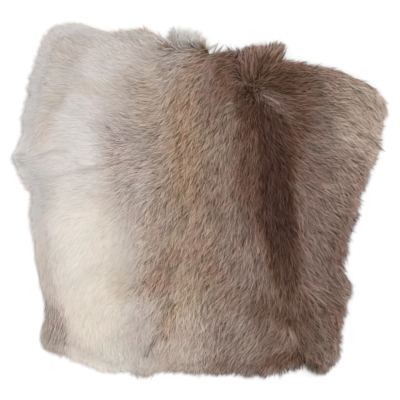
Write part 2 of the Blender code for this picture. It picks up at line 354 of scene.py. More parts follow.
class Raster:
    """Values over the hide on an even grid, read between its points."""

    # This much short of the count of points, a place is still inside the last cell.
    LAST = 1.001

    def __init__(self, low: np.ndarray, step: float, values: np.ndarray) -> None:
        """Keep the grid.

        Args:
            low: The grid's least x and y.
            step: The grid's spacing.
            values: The value at each point, indexed by x and then y.
        """
        self.low = low
        self.step = step
        self.values = values

    def at(self, places: np.ndarray) -> np.ndarray:
        """Read the values.

        Args:
            places: The x and y of each place.

        Returns:
            The value at each place.
        """
        most = np.array(self.values.shape[:2]) - self.LAST
        cell = np.clip((places - self.low) / self.step, 0, most)
        i, j = cell.astype(int).T
        u, v = (cell - np.floor(cell)).T
        if self.values.ndim > 2:
            u, v = u[:, None], v[:, None]
        near = self.values[i, j] * (1 - u) + self.values[i + 1, j] * u
        far = self.values[i, j + 1] * (1 - u) + self.values[i + 1, j + 1] * u
        return near * (1 - v) + far * v


class Drift:
    """A smooth wander over the hide, from -1 to 1, such as that of locks of hair."""

    SPAN = 1.6

    def __init__(self, rng: np.random.Generator, size: float) -> None:
        """Draw the wander.

        Args:
            rng: Where its values are drawn from.
            size: The breadth of its lumps.
        """
        count = int(self.SPAN / size) + 3
        low = np.full(2, -self.SPAN / 2)
        self.raster = Raster(low, size, rng.uniform(-1, 1, (count, count)))

    def at(self, places: np.ndarray) -> np.ndarray:
        """Read the wander, eased between its lumps.

        Args:
            places: The x and y of each place.

        Returns:
            The wander at each place.
        """
        cell = (places - self.raster.low) / self.raster.step
        whole = np.floor(cell)
        return self.raster.at(self.raster.low + (whole + eased(cell - whole)) * self.raster.step)


class HideForm:
    """The room that the CAD solid gives the hide: its outline, depth and height."""

    STEP = 0.004
    MARGIN = 0.06
    # The skin's edge lies below the first of these heights, and the hair tips' outline between them.
    LIP = (0.001, 0.003)
    # Depths are worked out in so many parts, which keeps each part's table small.
    PARTS = 40

    def __init__(self, node: bpy.types.Object) -> None:
        """Read the form from the CAD node.

        Args:
            node: The solid, whose lowest ring is the skin's edge and whose next is the hair tips'.
        """
        places = np.empty(len(node.data.vertices) * 3, np.float32)
        node.data.vertices.foreach_get("co", places)
        places = np.unique(np.round(places.reshape(-1, 3), 5), axis=0).astype(float)
        self.skin_edge = self.ring(places[places[:, 2] < self.LIP[0]])
        self.rim = self.ring(places[(places[:, 2] > self.LIP[0]) & (places[:, 2] < self.LIP[1])])
        self.grid = self.grid_over(self.MARGIN, self.STEP)
        low, flat, shape = self.grid[0, 0], self.grid.reshape(-1, 2), self.grid.shape[:2]
        self.depths = Raster(low, self.STEP, self.signed_depth(flat).reshape(shape))
        tree = BVHTree.FromObject(node, bpy.context.evaluated_depsgraph_get())
        hits = [tree.ray_cast((x, y, 1.0), (0.0, 0.0, -1.0))[0] for x, y in flat]
        heights = np.array([hit.z if hit else 0.0 for hit in hits])
        self.heights = Raster(low, self.STEP, heights.reshape(shape))
        outward = -np.stack(np.gradient(self.depths.values, self.STEP), axis=-1)
        self.outward = Raster(low, self.STEP, outward)

    @staticmethod
    def ring(places: np.ndarray) -> np.ndarray:
        """Return x and y of places round the middle of the hide, in the order of their bearing."""
        return places[np.argsort(np.arctan2(places[:, 1], places[:, 0])), :2]

    def grid_over(self, margin: float, step: float) -> np.ndarray:
        """Lay an even grid over the hide.

        Args:
            margin: How far past the hair tips it reaches.
            step: Its spacing.

        Returns:
            The x and y of each point, indexed by x and then y.
        """
        low = self.rim.min(axis=0) - margin
        count = np.ceil((self.rim.max(axis=0) + margin - low) / step).astype(int) + 1
        x, y = (low[k] + step * np.arange(count[k]) for k in (0, 1))
        return np.stack(np.meshgrid(x, y, indexing="ij"), axis=-1)

    def signed_depth(self, places: np.ndarray) -> np.ndarray:
        """Work out how deep places lie inside the hair tips' outline.

        Args:
            places: The x and y of each place.

        Returns:
            Each place's distance from the outline, above 0 inside it.
        """
        stretch = np.roll(self.rim, -1, axis=0) - self.rim
        length = (stretch**2).sum(axis=1)
        nearest = np.empty(len(places))
        for part in np.array_split(np.arange(len(places)), self.PARTS):
            offset = places[part, None] - self.rim
            share = np.clip((offset * stretch).sum(axis=2) / length, 0, 1)
            nearest[part] = np.linalg.norm(offset - share[..., None] * stretch, axis=2).min(axis=1)
        bearing = np.arctan2(self.rim[:, 1], self.rim[:, 0])
        reach = np.linalg.norm(self.rim, axis=1)
        limit = np.interp(np.arctan2(places[:, 1], places[:, 0]), bearing, reach, period=2 * math.pi)
        return np.where(np.linalg.norm(places, axis=1) < limit, nearest, -nearest)


class Lay:
    """The way the hair lies over the hide, blended between the comb marks and round the whorl."""

    # How near to a comb mark its pull stops growing, and how fast it falls off beyond.
    CORE = 0.024
    FALL = 2.2
    # The unruly hair reaches so many times as far as the whorl.
    MESS = 1.5
    # The breadth of each size of ruffle, and how far it turns the hair, in radians.
    RUFFLES = ((0.026, 0.20), (0.012, 0.16))

    def __init__(self, form: HideForm, rng: np.random.Generator) -> None:
        """Work the lay out over the hide's grid.

        Args:
            form: The hide's form.
            rng: Where its ruffles are drawn from.
        """
        self.ruffles = [(Drift(rng, size), turn) for size, turn in self.RUFFLES]
        flat = form.grid.reshape(-1, 2)
        marks = np.array(COMB_MARKS)
        apart = ((flat[:, None] - marks[:, :2]) ** 2).sum(axis=2)
        weight = (apart + self.CORE**2) ** -self.FALL
        lay = weight @ headed(np.radians(marks[:, 2])) / weight.sum(axis=1, keepdims=True)
        lay = unit(self.parted(flat, self.whorled(flat, lay)))
        self.raster = Raster(form.depths.low, form.STEP, lay.reshape(form.grid.shape))

    @staticmethod
    def whorled(places: np.ndarray, lay: np.ndarray) -> np.ndarray:
        """Turn the lay away from the whorl.

        Args:
            places: The x and y of each place.
            lay: The lay there.

        Returns:
            The turned lay.
        """
        offset = places - (WHORL.x, WHORL.y)
        far = np.linalg.norm(offset, axis=1, keepdims=True)
        share = np.exp(-((far / WHORL.reach) ** 2))
        return lay * (1 - share) + offset / np.maximum(far, 1e-4) * share

    @staticmethod
    def parted(places: np.ndarray, lay: np.ndarray) -> np.ndarray:
        """Turn the lay away from the parting.

        Args:
            places: The x and y of each place.
            lay: The lay there.

        Returns:
            The turned lay.
        """
        run = np.subtract(PARTING.end, PARTING.start)
        offset = places - PARTING.start
        along = np.clip(offset @ run / (run @ run), 0, 1)[:, None]
        far = np.linalg.norm(offset - along * run, axis=1, keepdims=True)
        side = run[0] * offset[:, 1] - run[1] * offset[:, 0] > 0
        turn = np.radians(np.where(side, PARTING.left, PARTING.right))
        share = np.exp(-((far / PARTING.reach) ** 2))
        return lay * (1 - share) + headed(turn) * share

    def at(self, places: np.ndarray) -> np.ndarray:
        """Return the unit direction of the hair at places."""
        return unit(self.raster.at(places))

    def ruffle(self, places: np.ndarray) -> np.ndarray:
        """Return the angle by which the ruffles turn the hair that is rooted at places."""
        return sum(ruffle.at(places) * turn for ruffle, turn in self.ruffles)

    def mess(self, places: np.ndarray) -> np.ndarray:
        """Return how unruly the hair is at places, from 0 to 1 in the middle of the whorl."""
        far = np.linalg.norm(places - (WHORL.x, WHORL.y), axis=1) / WHORL.reach
        return np.exp(-((far / self.MESS) ** 2))


class Streaks:
    """The coat's fine streaks, which run along the lay: from 0 on a pale one to 1 on a dark one."""

    STEP = 0.0010
    MARGIN = 0.03
    # The speckle's spacing, and how far and how often it is combed along the lay, both ways.
    GRAIN = 0.0016
    STRIDE = 0.0014
    STRIDES = 6
    # The streaks are evened by taking off their blur, made in so many rounds over so many points.
    EVENING = 2
    REACH = 2

    def __init__(self, form: HideForm, lay: Lay, rng: np.random.Generator) -> None:
        """Comb a speckle along the lay.

        Args:
            form: The hide's form.
            lay: The lay of its hair.
            rng: Where the speckle is drawn from.
        """
        grid = form.grid_over(self.MARGIN, self.STEP)
        low, flat, shape = grid[0, 0], grid.reshape(-1, 2), grid.shape[:2]
        speckle = Raster(low, self.GRAIN, self.speckled(form, rng))
        combed = speckle.at(flat)
        for way in (-self.STRIDE, self.STRIDE):
            place = flat
            for _ in range(self.STRIDES):
                place = place + turned(lay.at(place), lay.ruffle(place)) * way
                combed += speckle.at(place)
        broad = combed.reshape(shape)
        for _ in range(self.EVENING):
            for axis in (0, 1):
                sides = np.roll(broad, self.REACH, axis), np.roll(broad, -self.REACH, axis)
                broad = (sides[0] + broad + sides[1]) / 3
        combed -= broad.ravel()
        ranks = np.empty(len(flat))
        ranks[np.argsort(combed)] = np.linspace(0, 1, len(flat))
        self.raster = Raster(low, self.STEP, ranks.reshape(shape))

    def speckled(self, form: HideForm, rng: np.random.Generator) -> np.ndarray:
        """Draw the speckle, each grain set off from those beside it.

        Args:
            form: The hide's form.
            rng: Where the speckle is drawn from.

        Returns:
            The grains, indexed by x and then y.
        """
        count = form.grid_over(self.MARGIN, self.GRAIN).shape[:2]
        grains = rng.normal(0, 1, np.add(count, 1))
        for axis in (0, 1):
            grains = grains - (np.roll(grains, 1, axis) + np.roll(grains, -1, axis)) / 4
        return grains

    def at(self, places: np.ndarray) -> np.ndarray:
        """Return the streaks at places."""
        return self.raster.at(places)


class CoatPattern:
    """The colours of the coat over the hide: the markings with wandering edges, and faint clouds."""

    # The breadth of each wander of the markings' edges, and how far it moves them.
    WANDER = ((0.090, 0.0050), (0.040, 0.0035), (0.018, 0.0025))
    # The breadth of each size of cloud, how far it lightens the coat and how much of its tint it has. The
    # clouds are a random mottle in the coat's tone and in part painted shade of soft waves in its hair.
    CLOUDS = ((0.036, 0.075, 1.0), (0.009, 0.015, 0.7))
    CLOUD_PINK = np.array([0.052, -0.024, 0.000])
    CLOUD_BLUE = np.array([-0.004, 0.000, 0.050])
    # Clouds have their full strength up to the first lightness, and their least from the second on.
    HUE_LIGHTS = (0.20, 0.50)
    LEAST_HUE = 0.35
    LEAST_SHADE = 0.4

    # What a colour of each lightness is multiplied by, in red, green and blue, to look as it should
    # when the hairs that have it shade and light each other.
    LIGHTS = (0.065, 0.15, 0.205, 0.31, 0.45, 0.64)
    GAINS = (
        (0.87, 0.80, 0.78, 0.90, 1.03, 1.03),
        (0.56, 0.69, 0.70, 0.86, 1.01, 1.04),
        (0.36, 0.62, 0.63, 0.82, 1.00, 1.06),
    )

    def __init__(self, rng: np.random.Generator) -> None:
        """Draw the wander and the clouds from rng."""
        self.wander = [(Drift(rng, size), Drift(rng, size), amount) for size, amount in self.WANDER]
        self.clouds = [([Drift(rng, size) for _ in range(3)], *amounts) for size, *amounts in self.CLOUDS]

    def marked(self, places: np.ndarray) -> np.ndarray:
        """Lay the markings over the ground colour.

        Args:
            places: The x and y of each place.

        Returns:
            The scene-linear colour of the markings at each place.
        """
        bent = places.copy()
        for across, along, amount in self.wander:
            bent += np.column_stack([across.at(places), along.at(places)]) * amount
        colour = np.tile(linear(GROUND_COLOUR)[:3], (len(places), 1))
        for marking in MARKINGS:
            cos, sin = math.cos(math.radians(marking.heading)), math.sin(math.radians(marking.heading))
            offset = (bent - (marking.x, marking.y)) @ np.array([[cos, -sin], [sin, cos]])
            far = np.linalg.norm(offset / (marking.length, marking.width), axis=1)
            share = eased(np.clip((1 + marking.soft - far) / (2 * marking.soft), 0, 1)) * marking.strength
            colour += (linear(marking.colour)[:3] - colour) * share[:, None]
        return colour

    def at(self, places: np.ndarray) -> np.ndarray:
        """Work out the coat's colours.

        Args:
            places: The x and y of each place.

        Returns:
            The scene-linear colour at each place.
        """
        colour = self.marked(places)
        light = colour @ LUMINANCE
        hue = np.clip((self.HUE_LIGHTS[1] - light) / np.ptp(self.HUE_LIGHTS), self.LEAST_HUE, 1)[:, None]
        for clouds, shade, tint in self.clouds:
            bright, pink, blue = (cloud.at(places)[:, None] for cloud in clouds)
            colour *= 1 + bright * shade * between(self.LEAST_SHADE, 1, hue)
            colour *= 1 + (pink * self.CLOUD_PINK + blue * self.CLOUD_BLUE) * tint * hue
        return colour * np.column_stack([np.interp(light, self.LIGHTS, gains) for gains in self.GAINS])


# --- Finishes ---


class Tree:
    """A node tree that is built by short calls."""

    def __init__(self, tree: bpy.types.NodeTree) -> None:
        """Keep the tree and empty it."""
        self.tree = tree
        tree.nodes.clear()

    def add(self, kind: str, inputs: dict | None = None, **settings: object) -> bpy.types.Node:
        """Add a node.

        Args:
            kind: The node's type without its ShaderNode prefix, or with a Node prefix.
            inputs: A value or a socket for each input, by name or index.
            settings: Values for the node's own properties.

        Returns:
            The new node.
        """
        node = self.tree.nodes.new(kind if kind.startswith("Node") else "ShaderNode" + kind)
        for name, value in settings.items():
            setattr(node, name, value)
        for name, value in (inputs or {}).items():
            if isinstance(value, bpy.types.NodeSocket):
                self.tree.links.new(value, node.inputs[name])
            else:
                node.inputs[name].default_value = value
        return node

    def coat(self) -> bpy.types.NodeSocket:
        """Return the coat's own colour, which each piece of it has as an attribute."""
        return self.add("Attribute", attribute_name="coat").outputs["Color"]

    def mix(self, factor: object, first: object, second: object, blend: str = "MIX") -> bpy.types.NodeSocket:
        """Return the mix of two colours by a factor."""
        node = self.add("Mix", {0: factor, 6: first, 7: second}, data_type="RGBA", blend_type=blend)
        return node.outputs[2]

    def math(self, operation: str, first: object, second: object = 0.0) -> bpy.types.NodeSocket:
        """Return one number worked out from one or two."""
        return self.add("Math", {0: first, 1: second}, operation=operation).outputs[0]

    def shaded(self, colour: object, factor: object) -> bpy.types.NodeSocket:
        """Return a colour times a number."""
        return self.add("VectorMath", {0: colour, 3: factor}, operation="SCALE").outputs[0]

    def span(self, value: object, low: tuple[float, float], high: tuple[object, object],
             ease: str = "LINEAR") -> bpy.types.NodeSocket:
        """Return a value mapped from the range low to the range high."""
        limits = {0: value, 1: low[0], 2: low[1], 3: high[0], 4: high[1]}
        return self.add("MapRange", limits, interpolation_type=ease).outputs[0]

    def surface(self, inputs: dict) -> None:
        """Add the shader, with its inputs, and the output that it feeds."""
        shader = self.add("BsdfPrincipled", inputs)
        self.add("OutputMaterial", {"Surface": shader.outputs[0]})


def new_material(name: str) -> tuple[bpy.types.Material, Tree]:
    """Start a material.

    Args:
        name: The material's name.

    Returns:
        The material and its empty tree.
    """
    material = bpy.data.materials.new(name)
    material.use_nodes = True
    return material, Tree(material.node_tree)


def new_group(name: str, inputs: dict[str, str], outputs: dict[str, str]) -> tuple[Tree, dict, dict]:
    """Start a shader node group.

    Args:
        name: The group's name.
        inputs: The kind of each input socket, by name.
        outputs: The kind of each output socket, by name.

    Returns:
        The group's tree, its input sockets by name, and its end node's sockets by name.
    """
    group = bpy.data.node_groups.new(name, "ShaderNodeTree")
    for way, sockets in (("INPUT", inputs), ("OUTPUT", outputs)):
        for socket, kind in sockets.items():
            group.interface.new_socket(socket, in_out=way, socket_type=kind)
    tree = Tree(group)
    start, end = tree.add("NodeGroupInput"), tree.add("NodeGroupOutput")
    return tree, {s: start.outputs[s] for s in inputs}, {s: end.inputs[s] for s in outputs}


def grain_group() -> bpy.types.NodeTree:
    """Build the node group of a fine grain, or find it where it is built already.

    Returns:
        The group, which puts out the grain's value and the normal of a surface that has it.
    """
    found = bpy.data.node_groups.get("grain")
    if found:
        return found
    number, vector = "NodeSocketFloat", "NodeSocketVector"
    tree, given, wanted = new_group(
        "grain",
        {"Place": vector, "Scale": number, "Strength": number, "Distance": number},
        {"Value": number, "Normal": vector},
    )
    look = {"Vector": given["Place"], "Scale": given["Scale"], "Detail": 4.0}
    noise = tree.add("TexNoise", look).outputs[0]
    bump = tree.add("Bump", {"Height": noise, "Strength": given["Strength"], "Distance": given["Distance"]})
    tree.tree.links.new(noise, wanted["Value"])
    tree.tree.links.new(bump.outputs[0], wanted["Normal"])
    return tree.tree


@dataclass(frozen=True)
class GuardHairFinish:
    """Matt guard hair with dark and pale hairs among it, and with darker, redder roots than tips.

    Coats up to brown_light have the brown values, those from white_light on the white ones. A hair's
    tone comes from its streak or lock and from its own number. Hairs darken over the dark tones, and
    grow pale over the pale tones, the less so the dimmer their coat. The dark hairs are in part the coat's
    own and in part painted shade of the gaps between locks, where the dark streaks lie lowest.
    """

    name: str = "guard_hair"
    roughness: float = 0.62
    specular: float = 0.15
    brown_light: float = 0.14
    white_light: float = 0.62
    brown_root: float = 0.55
    brown_tip: float = 1.95
    white_root: float = 0.82
    white_tip: float = 1.07
    streak_share: float = 0.75
    own_share: float = 0.25
    dark_tones: tuple[float, float] = (0.50, 0.70)
    brown_dark: float = 0.09
    white_dark: float = 0.90
    pale_tones: tuple[float, float] = (0.45, 0.22)
    brown_pale: float = 1.0
    white_pale: float = 0.0
    dim_lights: tuple[float, float] = (0.02, 0.14)
    dim_pale: float = 0.4
    pale_shade: float = 1.9
    pale_share: float = 0.32
    pale_hair: tuple[float, float, float] = (0.66, 0.57, 0.535)
    red_power: float = 0.74
    blue_power: float = 1.20

    def material(self) -> bpy.types.Material:
        """Build the material.

        Returns:
            The material.
        """
        material, tree = new_material(self.name)
        pattern = tree.coat()
        strand = tree.add("Attribute", attribute_name="strand").outputs["Vector"]
        along, streak, own = tree.add("SeparateXYZ", {0: strand}).outputs
        light = tree.add("RGBToBW", {0: pattern}).outputs[0]
        white = tree.span(light, (self.brown_light, self.white_light), (0, 1), "SMOOTHSTEP")
        root_shade = tree.span(white, (0, 1), (self.brown_root, self.white_root))
        tip_shade = tree.span(white, (0, 1), (self.brown_tip, self.white_tip))
        shade = tree.span(along, (0, 1), (root_shade, tip_shade))
        streak = tree.math("MULTIPLY", streak, self.streak_share)
        tone = tree.math("ADD", streak, tree.math("MULTIPLY", own, self.own_share))
        dark = tree.span(tone, self.dark_tones, (0.0, 1.0), "SMOOTHSTEP")
        darkest = tree.span(white, (0, 1), (self.brown_dark, self.white_dark))
        shade = tree.math("MULTIPLY", shade, tree.span(dark, (0, 1), (1.0, darkest)))
        bright = tree.mix(self.pale_share, tree.shaded(pattern, self.pale_shade), linear(self.pale_hair))
        pale = tree.span(tone, self.pale_tones, (0.0, 1.0), "SMOOTHSTEP")
        pale = tree.math("MULTIPLY", pale, tree.span(white, (0, 1), (self.brown_pale, self.white_pale)))
        pale = tree.math("MULTIPLY", pale, tree.span(light, self.dim_lights, (self.dim_pale, 1.0)))
        red, blue = (tree.math("POWER", shade, power) for power in (self.red_power, self.blue_power))
        tint = tree.add("CombineXYZ", {0: red, 1: shade, 2: blue}).outputs[0]
        colour = {0: tree.mix(pale, pattern, bright), 1: tint}
        colour = tree.add("VectorMath", colour, operation="MULTIPLY").outputs[0]
        look = {"Base Color": colour, "Roughness": self.roughness, "Specular IOR Level": self.specular}
        tree.surface(look)
        return material


@dataclass(frozen=True)
class UndercoatFinish:
    """The dense wool under the guard hairs, in the coat's colours but darker where the coat is brown:
    painted shade of the gaps between the guard hairs.

    Over the wool's values it goes through its shades. The dimmer it is, the warmer the tint of its painted
    shade.
    """

    name: str = "undercoat_wool"
    roughness: float = 0.9
    brown_light: float = 0.20
    white_light: float = 0.60
    brown_shade: float = 0.33
    white_shade: float = 0.95
    wool_scale: float = 420.0
    wool_strength: float = 0.6
    wool_relief: float = 0.002
    wool_values: tuple[float, float] = (0.3, 0.7)
    wool_shades: tuple[float, float] = (0.75, 1.1)
    warmth_shades: tuple[float, float] = (0.2, 1.0)
    shade_warmth: tuple[float, float, float, float] = (1.10, 0.95, 0.86, 1.0)

    def material(self) -> bpy.types.Material:
        """Build the material.

        Returns:
            The material.
        """
        material, tree = new_material(self.name)
        pattern = tree.coat()
        light = tree.add("RGBToBW", {0: pattern}).outputs[0]
        look = {
            "Place": tree.add("TexCoord").outputs["Object"],
            "Scale": self.wool_scale,
            "Strength": self.wool_strength,
            "Distance": self.wool_relief,
        }
        wool, normal = tree.add("Group", look, node_tree=grain_group()).outputs
        # Painted shade: darker where the coat is brown, and warmer the darker it is.
        shade = tree.span(light, (self.brown_light, self.white_light), (self.brown_shade, self.white_shade))
        shade = tree.math("MULTIPLY", shade, tree.span(wool, self.wool_values, self.wool_shades))
        glow = tree.span(shade, self.warmth_shades, (1.0, 0.0))
        colour = tree.mix(glow, tree.shaded(pattern, shade), self.shade_warmth, "MULTIPLY")
        tree.surface({"Base Color": colour, "Roughness": self.roughness, "Normal": normal})
        return material


@dataclass(frozen=True)
class SkinFinish:
    """Tanned skin, seen from the flesh side: pale suede with a faint grain and darker clouds."""

    name: str = "tanned_skin"
    pale: tuple[float, float, float] = (0.83, 0.77, 0.67)
    dark: tuple[float, float, float] = (0.70, 0.60, 0.47)
    roughness: float = 0.85
    cloud_scale: float = 7.0
    cloud_values: tuple[float, float] = (0.35, 0.7)
    grain_scale: float = 900.0
    grain_strength: float = 0.5
    grain_relief: float = 0.0005

    def material(self) -> bpy.types.Material:
        """Build the material.

        Returns:
            The material.
        """
        material, tree = new_material(self.name)
        place = tree.add("TexCoord").outputs["Object"]
        clouds = tree.add("TexNoise", {"Vector": place, "Scale": self.cloud_scale, "Detail": 5.0}).outputs[0]
        look = {
            "Place": place,
            "Scale": self.grain_scale,
            "Strength": self.grain_strength,
            "Distance": self.grain_relief,
        }
        normal = tree.add("Group", look, node_tree=grain_group()).outputs["Normal"]
        dark = tree.span(clouds, self.cloud_values, (0, 1))
        colour = tree.mix(dark, linear(self.pale), linear(self.dark))
        tree.surface({"Base Color": colour, "Roughness": self.roughness, "Normal": normal})
        return material


# --- The pieces ---


def finished(shape: bmesh.types.BMesh, name: str) -> bpy.types.Mesh:
    """Turn a shape that is no longer needed into a mesh.

    Args:
        shape: The shape, which is freed.
        name: The mesh's name.

    Returns:
        The mesh.
    """
    mesh = bpy.data.meshes.new(name)
    shape.to_mesh(mesh)
    shape.free()
    return mesh


def new_piece(mesh: bpy.types.Mesh, material: bpy.types.Material) -> bpy.types.Object:
    """Put a mesh in the scene as one piece of the hide, under the root body.

    Args:
        mesh: The mesh, whose name the piece gets.
        material: Its material.

    Returns:
        The piece.
    """
    mesh.materials.append(material)
    piece = bpy.data.objects.new(mesh.name, mesh)
    bpy.context.scene.collection.objects.link(piece)
    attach(piece, "root")
    return piece


def paint(mesh: bpy.types.Mesh, colours: np.ndarray) -> None:
    """Give each vertex its colour, in the attribute that the finishes read."""
    values = np.column_stack([colours, np.ones(len(colours))])
    mesh.attributes.new("coat", "FLOAT_COLOR", "POINT").data.foreach_set("color", values.ravel())


@dataclass
class Skin:
    """The tanned skin: one flat sheet inside the reach of the hair."""

    form: HideForm
    thickness: float = SKIN_THICKNESS

    # How far its edges are rounded and in how many steps, and the turn in radians that makes an edge.
    edge_round: float = 0.0006
    edge_steps: int = 2
    edge_turn: float = 1.0

    @property
    def area(self) -> float:
        """Return the area of the cut."""
        x, y = self.form.skin_edge.T
        return abs(np.dot(x, np.roll(y, -1)) - np.dot(y, np.roll(x, -1))) / 2

    def build(self, finish: SkinFinish) -> bpy.types.Object:
        """Cut the sheet and dress it.

        Args:
            finish: The skin's finish.

        Returns:
            The skin.
        """
        shape = bmesh.new()
        face = shape.faces.new([shape.verts.new((x, y, 0.0)) for x, y in self.form.skin_edge])
        raised = bmesh.ops.extrude_face_region(shape, geom=[face])["geom"]
        verts = [v for v in raised if isinstance(v, bmesh.types.BMVert)]
        bmesh.ops.translate(shape, verts=verts, vec=(0, 0, self.thickness))
        rim = [e for e in shape.edges if len(e.link_faces) == 2 and e.calc_face_angle() > self.edge_turn]
        bmesh.ops.bevel(
            shape, geom=rim, offset=self.edge_round, affect="EDGES", segments=self.edge_steps, profile=0.5,
            material=-1,
        )
        bmesh.ops.triangulate(shape, faces=shape.faces)
        bmesh.ops.recalc_face_normals(shape, faces=shape.faces)
        return new_piece(finished(shape, "skin"), finish.material())


@dataclass
class Undercoat:
    """The wool on the skin: the CAD form brought down below the guard hairs and in from their tips."""

    form: HideForm
    pattern: CoatPattern

    # Its height as a share of the CAD form's, and how far its rim is drawn in, less and less over the
    # roll's depth.
    share: float = 0.58
    drawn_in: float = 0.018
    roll: float = 0.050

    # The breadth and height of its lumps, and the height up to which it has none.
    lump_size: float = 0.012
    lump: float = 0.0012
    smooth_height: float = 0.004

    def build(self, node: bpy.types.Object, finish: UndercoatFinish,
              rng: np.random.Generator) -> bpy.types.Object:
        """Shape the wool from a copy of the CAD solid and dress it.

        Args:
            node: The CAD solid.
            finish: The wool's finish.
            rng: Where its lumps are drawn from.

        Returns:
            The undercoat.
        """
        shape = bmesh.new()
        shape.from_mesh(node.data)
        bmesh.ops.remove_doubles(shape, verts=shape.verts, dist=1e-5)
        bmesh.ops.subdivide_edges(shape, edges=shape.edges, cuts=1, use_grid_fill=True)
        places = np.array([v.co for v in shape.verts])
        depth = self.form.depths.at(places[:, :2])
        inward = self.drawn_in * np.clip(1 - depth / self.roll, 0, 1)
        spread = 1 - inward / np.maximum(np.linalg.norm(places[:, :2], axis=1), 1e-3)
        lumps = Drift(rng, self.lump_size).at(places[:, :2]) * self.lump
        for vert, scale, lump in zip(shape.verts, spread, lumps):
            height = SKIN_THICKNESS + vert.co.z * self.share
            if height > SKIN_THICKNESS + self.smooth_height:
                height += lump
            vert.co = (vert.co.x * scale, vert.co.y * scale, height)
        bmesh.ops.recalc_face_normals(shape, faces=shape.faces)
        mesh = finished(shape, "undercoat")
        mesh.shade_smooth()
        paint(mesh, self.pattern.at(np.array([v.co[:2] for v in mesh.vertices])))
        return new_piece(mesh, finish.material())


@dataclass
class Blades:
    """Tapered blades of hair, and the numbers by which their finish tells them apart.

    The spine holds each blade's middle line, as four places from root to tip, and the twist is its turn
    about that line. The coat is the blade's colour at those four places, before its own light and dark,
    which come from the tone of its streak or lock and from a number of its own.
    """

    spine: np.ndarray
    breadth: np.ndarray
    twist: np.ndarray
    coat: np.ndarray
    tone: np.ndarray
    own: np.ndarray

    # A blade's breadth at its two joints, its faces' corners, where each face's corners begin, and each
    # corner's place on the spine, by number and as a share of the way.
    TAPER = np.array([1.00, 0.72])
    CORNERS = np.array([0, 2, 1, 1, 2, 4, 3, 3, 4, 5])
    STARTS = np.array([0, 3, 7])
    PLACES = np.array([0, 1, 1, 2, 2, 3])
    ALONG = PLACES / 3

    # A blade's cell on the map is three times as high as it is wide. The corners' place across the cell,
    # how much of its height they take up, and the gap under them.
    CELL_HEIGHT = 3
    ACROSS = np.array([0.5, 0.12, 0.88, 0.12, 0.88, 0.5])
    HEIGHT = 0.84
    GAP = 0.08

    def corners(self) -> np.ndarray:
        """Work out where the blades' corners are.

        Returns:
            Each blade's six corners: its root, a pair at each joint, and its tip.
        """
        run = np.gradient(self.spine, axis=1)
        run /= np.linalg.norm(run, axis=2, keepdims=True)
        side = np.cross(run, UP)
        side /= np.maximum(np.linalg.norm(side, axis=2, keepdims=True), 1e-6)
        over = np.cross(side, run)
        across = side * np.cos(self.twist)[:, None, None] + over * np.sin(self.twist)[:, None, None]
        half = across[:, 1:3] * (self.breadth[:, None] * self.TAPER / 2)[:, :, None]
        joints = self.spine[:, 1:3]
        pairs = np.stack([joints - half, joints + half], axis=2).reshape(-1, 4, 3)
        return np.concatenate([self.spine[:, :1], pairs, self.spine[:, 3:]], axis=1)

    def mesh(self, name: str) -> bpy.types.Mesh:
        """Join the blades into one mesh, with its map and the values that the finish reads.

        Args:
            name: The mesh's name.

        Returns:
            The mesh.
        """
        count = len(self.spine)
        each = np.arange(count)[:, None]
        mesh = bpy.data.meshes.new(name)
        mesh.vertices.add(count * len(self.PLACES))
        mesh.vertices.foreach_set("co", self.corners().ravel())
        mesh.loops.add(count * len(self.CORNERS))
        mesh.loops.foreach_set("vertex_index", (self.CORNERS + len(self.PLACES) * each).ravel())
        mesh.polygons.add(count * len(self.STARTS))
        mesh.polygons.foreach_set("loop_start", (self.STARTS + len(self.CORNERS) * each).ravel())
        mesh.update(calc_edges=True)
        mesh.shade_smooth()
        values = np.empty((count, len(self.PLACES), 3))
        values[:, :, 0] = self.ALONG
        values[:, :, 1] = self.tone[:, None]
        values[:, :, 2] = self.own[:, None]
        mesh.attributes.new("strand", "FLOAT_VECTOR", "POINT").data.foreach_set("vector", values.ravel())
        paint(mesh, self.coat[:, self.PLACES].reshape(-1, 3))
        layer = mesh.uv_layers.new(name="OFBake")
        layer.data.foreach_set("uv", self.cells()[:, self.CORNERS].ravel())
        return mesh

    def cells(self) -> np.ndarray:
        """Lay the blades out on the map: one small cell a blade, neighbours by neighbours.

        Returns:
            The place of each blade's corners on the map.
        """
        roots = self.spine[:, 0, :2]
        count = len(roots)
        across = math.ceil(math.sqrt(count * self.CELL_HEIGHT))
        down = math.ceil(count / across)
        rows = np.array_split(np.argsort(roots[:, 1]), down)
        column, row = np.empty(count), np.empty(count)
        for level, members in enumerate(rows):
            members = members[np.argsort(roots[members, 0])]
            column[members] = np.arange(len(members))
            row[members] = level
        v = self.ALONG * self.HEIGHT + self.GAP
        return np.stack([(column[:, None] + self.ACROSS) / across, (row[:, None] + v) / down], axis=2)


@dataclass
class Growth:
    """Where the guard hairs grow, and what sets each apart, in arrays with an item for each hair.

    The roots, and the middles of the locks and wisps, are x and y. Coarse is 0 for the belly's coat and 1
    for the back's, mess is how unruly the hair is, and a stray hair is a long one that lies on top. A
    hair has its own number and those of its lock and its wisp, from 0 to 1: for the lock how high it
    lies, how long it is, how far out it reaches and which way it turns aside, and for the wisp the last
    two.
    """

    roots: np.ndarray
    coarse: np.ndarray
    mess: np.ndarray
    stray: np.ndarray
    own: np.ndarray
    lock: np.ndarray
    high: np.ndarray
    long: np.ndarray
    out: np.ndarray
    aside: np.ndarray
    wisp: np.ndarray
    wisp_out: np.ndarray
    wisp_aside: np.ndarray


